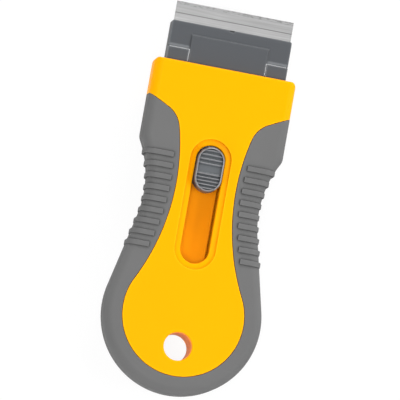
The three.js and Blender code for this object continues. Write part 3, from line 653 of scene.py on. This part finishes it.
def rolled_metal(name, code, grain, stretch, depth, roughness):
    """Bare metal with the fine lines that rolling or grinding leaves, drawn out along X."""
    material, tree, where = new_material(name)
    drawn = add(tree, "ShaderNodeMapping", {"Scale": (1 / stretch, 1, 1)}, {"Vector": where})
    lines = add(tree, "ShaderNodeTexNoise", {"Scale": 1 / (grain * MM), "Detail": 3.0},
                {"Vector": drawn.outputs["Vector"]})
    tone = mix_colours(tree, lines.outputs["Fac"], shade(code, METAL_SHADE), shade(code))
    bump = add(tree, "ShaderNodeBump", {"Strength": 1.0, "Distance": depth * MM},
               {"Height": lines.outputs["Fac"]})
    surface(tree, tone, bump.outputs["Normal"], roughness, metallic=1.0)
    return material


# Each moulded colour list: base, then the painted shade of its creases, then its edge tone of wear and
# painted highlight
# Satin yellow ABS: a deep warm yellow with a soft, weak shine
yellow_abs = moulded("yellow_abs", "F8A200", "C85600", "FFBA14", 0.5, 0.006, 0.98,
                     roughness=0.4, specular=0.03)
# The rail's acetal: deeper orange, with the same soft shine
orange_acetal = moulded("orange_acetal", "FF9C04", "E87800", "FFB030", 0.5, 0.006, 0.97,
                        roughness=0.4, specular=0.04)
# Soft-touch rubber: flat mid grey that hardly shines
soft_rubber = moulded("soft_rubber", "626262", "343434", "676767", 0.35, 0.02, 0.96,
                      roughness=0.8, specular=0.2)
# Glass-filled nylon: dark cool grey with a matt moulded grain
dark_nylon = moulded("dark_nylon", "3C3F43", "1A1C1E", "626568", 0.4, 0.015, 0.95,
                     roughness=0.55, specular=0.4)
# The button's plastic: a lighter cool grey
button_plastic = moulded("button_plastic", "464A4E", "2A2C2F", "807E80", 0.4, 0.01, 0.96,
                         roughness=0.38, specular=0.55)
# Aluminium strip of the blade's folded back
spine_aluminium = rolled_metal("spine_aluminium", "C9CACC", 0.3, 20, 0.004, roughness=0.4)
# Cold-rolled spring strip, darker than the blade
spring_steel = rolled_metal("spring_steel", "8D9094", 0.3, 20, 0.004, roughness=0.35)
# Bright zinc plating on the screws and the rivet
zinc_plate = rolled_metal("zinc_plate", "B0B3B5", 0.4, 1, 0.004, roughness=0.32)


def ground_steel():
    """Blade steel: grinding lines along the edge, a bevel behind a dark line, and a worn, speckled edge."""
    material, tree, where = new_material("ground_steel")
    along = add(tree, "ShaderNodeSeparateXYZ", links={"Vector": where}).outputs["Y"]
    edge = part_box("razor_blade")[1].y

    def from_edge(start, end):
        return add(tree, "ShaderNodeMapRange", {"From Min": edge - start * MM, "From Max": edge - end * MM},
                   {"Value": along}).outputs["Result"]

    def streaks(grain, stretch):
        drawn = add(tree, "ShaderNodeMapping", {"Scale": (1 / stretch, 1, 1)}, {"Vector": where})
        return add(tree, "ShaderNodeTexNoise", {"Scale": 1 / (grain * MM), "Detail": 3.0},
                   {"Vector": drawn.outputs["Vector"]}).outputs["Fac"]

    lines = streaks(0.5, 30)
    body, honed = (mix_colours(tree, lines, shade(STEEL, dull), shade(STEEL, bright))
                   for dull, bright in (STEEL_BODY, STEEL_HONED))
    line = shade(STEEL, STEEL_LINE)
    behind = mix_colours(tree, from_edge(BEVEL_DEPTH, BEVEL_DEPTH - LINE_FADE), line, honed)
    tone = mix_colours(tree, from_edge(BEVEL_DEPTH + LINE_WIDTH, BEVEL_DEPTH), body, behind)
    specks = add(tree, "ShaderNodeMapRange", {"From Min": WEAR_RANGE[0], "From Max": WEAR_RANGE[1]},
                 {"Value": streaks(0.5, 2)}).outputs["Result"]
    worn = add(tree, "ShaderNodeMath", links={0: specks, 1: from_edge(*WEAR_DEPTH)}, operation="MULTIPLY")
    worn = add(tree, "ShaderNodeMath", {1: WEAR_STRENGTH}, {0: worn.outputs[0]}, operation="MULTIPLY")
    tone = mix_colours(tree, worn.outputs[0], tone, shade(STEEL, STEEL_WORN))
    bump = add(tree, "ShaderNodeBump", {"Strength": 1.0, "Distance": 0.003 * MM}, {"Height": lines})
    surface(tree, tone, bump.outputs["Normal"], 0.42, metallic=1.0)
    return material


blade_steel = ground_steel()


# Handle

def centre_of(node):
    low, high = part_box(node)
    return (low.x + high.x) / (2 * MM), (low.y + high.y) / (2 * MM) - TAIL_SHIFT


def rise_of(y):
    return y / MM - TAIL_SHIFT


screw_places = [centre_of(node) for node in SCREW_NODES]
inside_roof = THICKNESS - (FRONT_WALL + GRIP_THICKNESS + BOND_GAP) / 2
inside_floor = (REAR_WALL + GRIP_THICKNESS + BOND_GAP) / 2
rear_top = PARTING_HEIGHT - PARTING_GAP


def moulded_half(name, rings, panel):
    """Half a shell: full thickness inside the panel, thinner where the grip lies on it."""
    body = meet(loft(name, rings(0)), panel)
    return cut(join(body, loft("core", rings(GRIP_THICKNESS + BOND_GAP))), hollow("room"))


def slot_and_dish(name):
    """The thumb slot, the shallow dish round it and their small rounds, as one cutter."""
    slope = (DISH_DEPTH - DISH_STEP) / DISH_MARGIN

    def dish(margin):
        return margin, THICKNESS - DISH_DEPTH + slope * margin

    crease = dish(DISH_MARGIN)
    profile = [(0, THICKNESS - 2 * FRONT_WALL)]
    profile += curve_through((0, dish(0)[1] - SLOT_ROUND), dish(0), dish(SLOT_ROUND))
    profile += curve_through(dish(DISH_MARGIN - CREASE_ROUND), crease, (DISH_MARGIN, THICKNESS - RIM_ROUND))
    profile += curve_through((DISH_MARGIN, THICKNESS - RIM_ROUND), (DISH_MARGIN, THICKNESS),
                             (DISH_MARGIN + RIM_ROUND, THICKNESS))[1:]
    profile.append((DISH_MARGIN + RIM_ROUND, 2 * THICKNESS))
    return loft(name, [(z, stadium(SLOT_HALF + m, SLOT_REAR - m, SLOT_FRONT + m)) for m, z in profile])


def lock_rack(side):
    """A strip under the roof beside the slot, with a notch for each end of the travel."""
    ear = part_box("lock_spring")[1].x / MM
    xs = sorted((side * (ear - RACK_WIDTH / 2), side * (ear + RACK_WIDTH / 2)))
    top = THICKNESS - FRONT_WALL
    rack = block("rack", (xs[0], SLOT_REAR, top - RACK_DEPTH), (xs[1], SLOT_FRONT, inside_roof))
    locked = rise_of(sum(corner.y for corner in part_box("slide_button")) / 2)
    for drawn in (0, SLIDE_TRAVEL):
        y = locked - drawn
        cut(rack, block("notch", (xs[0] - 1, y - NOTCH_HALF, 0), (xs[1] + 1, y + NOTCH_HALF, top)))
    return rack


def front_shell():
    body = moulded_half("front_moulding", front_rings, seam_panel("panel", -BOND_GAP, -SEAM_ROUND))
    bosses = [post("boss", x, y, SCREW_RADIUS + SCREW_GAP + BOSS_WALL, PARTING_HEIGHT, inside_roof)
              for x, y in screw_places]
    tube = post("tube", 0, -HOLE_DROP, HOLE_RADIUS + HOLE_WALL, PARTING_HEIGHT, inside_roof)
    join(body, tube, lock_rack(-1), lock_rack(1), *bosses)
    hole = flared_post("hole", 0, -HOLE_DROP, HOLE_RADIUS, 0, THICKNESS, HOLE_ROUND, at_high=True)
    pilots = [post("pilot", x, y, SCREW_RADIUS + SCREW_GAP, 0, THICKNESS - FRONT_WALL)
              for x, y in screw_places]
    cut(body, hole, slot_and_dish("slot"), *pilots)
    return dress(body, yellow_abs, "yellow_abs", "handle", "front_shell")


def rail_plan(margin):
    low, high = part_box("guide_rail")
    return stadium(RAIL_HALF + margin, rise_of(low.y) - margin, rise_of(high.y) + margin)


def rear_shell():
    body = moulded_half("rear_moulding", rear_rings, rear_panel("panel", -BOND_GAP))
    seat = SCREW_SINK + SCREW_HEAD_HEIGHT
    bore = SCREW_HEAD_RADIUS + SCREW_GAP
    raised = [
        post("tube", 0, -HOLE_DROP, HOLE_RADIUS + HOLE_WALL, inside_floor, rear_top),
        prism("fence", rail_plan(BOND_GAP + FENCE_WIDTH), inside_floor, REAR_WALL + FENCE_HEIGHT),
    ]
    bores = [flared_post("hole", 0, -HOLE_DROP, HOLE_RADIUS, 0, THICKNESS, HOLE_ROUND, at_low=True)]
    for side in (-1, 1):
        x = side * RUNNER_SPREAD
        raised.append(block("runner", (x - RUNNER_WIDTH / 2, RUNNER_REAR, inside_floor),
                            (x + RUNNER_WIDTH / 2, MOUTH_RISE - MOUTH_EDGE_RADIUS, RUNNER_TOP)))
    for x, y in screw_places:
        raised.append(post("boss", x, y, SCREW_RADIUS + SCREW_GAP + BOSS_WALL, inside_floor, rear_top))
        raised.append(post("seat", x, y, bore + BOSS_WALL, inside_floor, seat + BOSS_WALL))
        bores.append(flared_post("bore", x, y, bore, 0, seat, SCREW_GAP, at_low=True))
        bores.append(post("pilot", x, y, SCREW_RADIUS + SCREW_GAP, SCREW_SINK, THICKNESS))
    join(body, *raised)
    rail_seat = prism("rail_seat", rail_plan(BOND_GAP), REAR_WALL, THICKNESS)
    cut(body, rail_seat, head_ramp("ramp", 0), *bores)
    return dress(body, yellow_abs, "yellow_abs", "handle", "rear_shell")


def guide_rail():
    low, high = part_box("guide_rail")
    base, top = low.z / MM, high.z / MM
    rings = [(base, rail_plan(0))]
    steps = CORNER_STEPS // 2
    for i in range(steps + 1):
        turn = math.pi / 2 * i / steps
        height = top - RAIL_ROUND * (1 - math.sin(turn))
        rings.append((height, rail_plan(-RAIL_ROUND * (1 - math.cos(turn)))))
    body = cut(loft("rail_moulding", rings), prism("inside", rail_plan(-RAIL_WALL), 0, top - RAIL_WALL))
    return dress(body, orange_acetal, "orange_acetal", "handle", "guide_rail")


# Grips

def half_width(plan, y):
    """How far right an outline reaches at a place along the handle."""
    for (x0, y0), (x1, y1) in zip(plan, plan[1:]):
        if y0 <= y < y1:
            return x0 + (x1 - x0) * (y - y0) / (y1 - y0)
    raise ValueError("outline doesn't reach there")


def rib_paths(name, rings, inner_end=None):
    """A line round the side of the handle for each rib, on the right and on the left."""
    points = []
    edges = []
    for i in range(RIB_COUNT):
        y = RIB_MIDDLE_RISE + (i - (RIB_COUNT - 1) / 2) * RIB_PITCH
        line = [(half_width(plan, y), z) for z, plan in rings]
        if inner_end:
            line.append((half_width(inner_end, y), rings[-1][0]))
        for side in (-1, 1):
            first = len(points)
            points += [(side * x, y, z) for x, z in line]
            edges += [(k, k + 1) for k in range(first, len(points) - 1)]
    return new_object(name, points, [], edges)


def soft_half(name, rings, panel, paths):
    """A grip: the soft skin outside the panel, with ribs that run round its sides."""
    body = cut(loft(name, rings(0)), loft("inside", rings(GRIP_THICKNESS, through=True)), panel)
    sizes = {"Width": RIB_WIDTH * MM, "Height": (RIB_HEIGHT + RIB_SINK) * MM, "Round": RIB_ROUND * MM,
             "Material": soft_rubber}
    join(body, grow(paths, ribs, sizes))
    return body


def grips():
    depth = (RIB_SINK - RIB_HEIGHT) / 2
    front_lines = rib_paths("front_ribs", front_rings(depth)[1:], front_panel(RIB_MARGIN))
    front = soft_half("front_rubber", front_rings, seam_panel("panel", 0, SEAM_ROUND), front_lines)
    dress(front, soft_rubber, "grey_soft_grip", "handle", "front_grip")
    rear_side = [level for level in rear_rings(depth)[:-1] if level[0] >= REAR_RIB_FLOOR]
    rear_lines = rib_paths("rear_ribs", rear_side)
    rear = soft_half("rear_rubber", rear_rings, rear_panel("panel", 0), rear_lines)
    dress(rear, soft_rubber, "grey_soft_grip", "handle", "rear_grip")


# Slide, button and screws

def thumb_button():
    low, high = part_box("slide_button")
    rear, front = rise_of(low.y), rise_of(high.y)
    base, top = low.z / MM, high.z / MM
    rings = [(base, stadium(BUTTON_HALF, rear, front))]
    for i in range(CORNER_STEPS + 1):
        turn = math.pi / 2 * i / CORNER_STEPS
        move = BUTTON_ROUND * (1 - math.cos(turn))
        plan = stadium(BUTTON_HALF - move, rear + move, front - move)
        rings.append((top - BUTTON_ROUND * (1 - math.sin(turn)), plan))
    body = loft("button_moulding", rings)
    middle = (rear + front) / 2
    end = (front - rear) / 2 - BUTTON_RIM
    floor = []
    for i in range(BUTTON_RIB_STEPS + 1):
        along = end * (2 * i / BUTTON_RIB_STEPS - 1)
        share = max(abs(along) - BUTTON_PLATEAU / 2, 0) / (end - BUTTON_PLATEAU / 2)
        count = BUTTON_RIBS["front" if along > 0 else "rear"]
        wave = BUTTON_RIB_HEIGHT * (1 + math.cos(2 * math.pi * count * share)) / 2
        floor.append((middle + along, top - BUTTON_HOLLOW * (1 - share) - wave))
    ends = [(middle + end, 2 * top), (middle - end, 2 * top)]
    plan = stadium(BUTTON_HALF - BUTTON_RIM, middle - end, middle + end)
    cut(body, meet(bar("ribs", floor + ends, 2 * BUTTON_HALF), prism("inside", plan, 0, 3 * top)))
    reach = high.x / MM
    wing = BUTTON_WING / 2
    join(body, block("wings", (-reach, middle - wing, base), (reach, middle + wing, base + WING_HEIGHT)))
    return dress(body, button_plastic, "grey_button", "button", "slide_button")


def rounded_copy(node, name, material, slot):
    return dress(round_edges(copy_node(node, name), SLIDE_ROUND), material, slot, "carriage", node)


def spring_leaf():
    """The lock spring, which the button flattens on to the slide in use: a copy of its CAD node, with a
    mesh of its own.
    """
    leaf = copy_node("lock_spring", "spring_leaf")
    dress(leaf, spring_steel, "spring_steel", "carriage", "lock_spring")
    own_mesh(leaf)


def screws():
    """Pan-head screws with a cross recess, set in the back."""
    seat = SCREW_SINK + SCREW_HEAD_HEIGHT
    profile = [(SCREW_SINK, SCREW_CROWN_RADIUS)]
    profile += [(SCREW_SINK + SCREW_HEAD_HEIGHT / 3, SCREW_HEAD_RADIUS), (seat, SCREW_HEAD_RADIUS)]
    profile += [(seat, SCREW_RADIUS), (SCREW_END - SCREW_TIP, SCREW_RADIUS), (SCREW_END, SCREW_RADIUS / 20)]
    profile = curve_through(profile[0], (SCREW_SINK, SCREW_HEAD_RADIUS), profile[1]) + profile[2:]
    screw = loft("screw", [(z, ring(0, -TAIL_SHIFT, radius)) for z, radius in profile])
    arm, wide = RECESS
    deep = SCREW_SINK + RECESS_DEPTH
    for x, y in ((arm, wide), (wide, arm)):
        cut(screw, block("recess", (-x, -y - TAIL_SHIFT, 0), (x, y - TAIL_SHIFT, deep)))
    places = new_object("screws", [(x, y, 0) for x, y in screw_places], [])
    grow(places, screw_tree(), {"Screw": screw, "Material": zinc_plate})
    bpy.data.objects.remove(screw)
    return dress(places, zinc_plate, "zinc_steel", "handle", *SCREW_NODES)


ribs = rib_tree()
front_shell()
rear_shell()
guide_rail()
grips()
thumb_button()
rounded_copy("blade_carrier", "carrier_moulding", dark_nylon, "dark_grey_nylon")
rounded_copy("blade_clamp", "clamp_moulding", dark_nylon, "dark_grey_nylon")
spring_leaf()
screws()
for node, material in (("razor_blade", blade_steel), ("blade_spine", spine_aluminium),
                       ("spring_rivet", zinc_plate)):
    nodes[node].data.materials.clear()
    nodes[node].data.materials.append(material)


# Stage

def white_for_camera(tree, seen, lighting, share):
    """Shows a plain white to the camera and in reflections, and gives the lighting otherwise."""
    path = add(tree, "ShaderNodeLightPath").outputs
    shown = path["Is Camera Ray"]
    for kind in ("Is Glossy Ray", "Is Transmission Ray"):
        shown = add(tree, "ShaderNodeMath", links={0: shown, 1: path[kind]}, operation="MAXIMUM").outputs[0]
    amount = add(tree, "ShaderNodeMath", {1: share}, {0: shown}, operation="MULTIPLY")
    return add(tree, "ShaderNodeMixShader", links={0: amount.outputs[0], 1: lighting, 2: seen})


def floor():
    half = FLOOR_SIZE / 2
    body = new_object("floor", [(-half, -half, 0), (half, -half, 0), (half, half, 0), (-half, half, 0)],
                      [(0, 1, 2, 3)])
    body.location.z = -FLOOR_DROP * MM
    material, tree, _ = new_material("white_card")
    card = add(tree, "ShaderNodeBsdfDiffuse", {"Color": shade("F2F2F2")})
    glow = add(tree, "ShaderNodeEmission", {"Color": (1, 1, 1, 1), "Strength": 1.0})
    mixed = white_for_camera(tree, glow.outputs[0], card.outputs[0], FLOOR_GLOW)
    add(tree, "ShaderNodeOutputMaterial", links={"Surface": mixed.outputs[0]})
    body.data.materials.append(material)


def lamp(name, place_mm, size, power):
    """A square soft box that faces the middle of the handle."""
    light = bpy.data.lights.new(name, "AREA")
    light.size = size * MM
    light.energy = power
    body = bpy.data.objects.new(name, light)
    bpy.context.scene.collection.objects.link(body)
    body.location = Vector(place_mm) * MM
    aim = Vector((0, 0, THICKNESS)) * MM - body.location
    body.rotation_euler = aim.to_track_quat("-Z", "Y").to_euler()


def sky():
    """A studio that is dark overhead and bright round the sides, so that only edges shine."""
    world = bpy.data.worlds.new("studio")
    bpy.context.scene.world = world
    world.use_nodes = True
    tree = world.node_tree
    tree.nodes.clear()
    way = add(tree, "ShaderNodeTexCoord").outputs["Generated"]
    height = add(tree, "ShaderNodeSeparateXYZ", links={"Vector": way}).outputs["Z"]
    glow = add(tree, "ShaderNodeMapRange",
               {"From Min": SKY_BAND[0], "From Max": SKY_BAND[1],
                "To Min": SKY_STRENGTH["sides"], "To Max": SKY_STRENGTH["overhead"]},
               {"Value": height}).outputs["Result"]
    dim = add(tree, "ShaderNodeBackground", {"Color": shade("FFFFFF")}, {"Strength": glow})
    white = add(tree, "ShaderNodeBackground", {"Color": shade("FFFFFF"), "Strength": 1.0})
    mixed = white_for_camera(tree, white.outputs[0], dim.outputs[0], 1.0)
    add(tree, "ShaderNodeOutputWorld", links={"Surface": mixed.outputs[0]})


def camera():
    """The photo's camera: nearly overhead, turned so that the blade points to the upper right."""
    target = Vector(CAMERA_TARGET) * MM
    back = Vector((-math.tan(CAMERA_LEAN[0]), -math.tan(CAMERA_LEAN[1]), 1)).normalized()
    right = Vector((0, 1, 0)).cross(back).normalized()
    up = back.cross(right)
    across = math.cos(CAMERA_ROLL) * right + math.sin(CAMERA_ROLL) * up
    upright = math.cos(CAMERA_ROLL) * up - math.sin(CAMERA_ROLL) * right
    lens = bpy.data.cameras.new("camera")
    lens.sensor_width = 36.0
    lens.lens = lens.sensor_width * CAMERA_DISTANCE * PIXELS_PER_MM / IMAGE_SIZE
    lens.clip_end = 100
    body = bpy.data.objects.new("camera", lens)
    bpy.context.scene.collection.objects.link(body)
    turn = Matrix((across, upright, back)).transposed().to_4x4()
    body.matrix_world = Matrix.Translation(target + back * CAMERA_DISTANCE * MM) @ turn
    bpy.context.scene.camera = body


floor()
sky()
for name, (place_mm, size, power) in LAMPS.items():
    lamp(name, place_mm, size, power)
camera()
bpy.context.scene.view_settings.view_transform = "Standard"
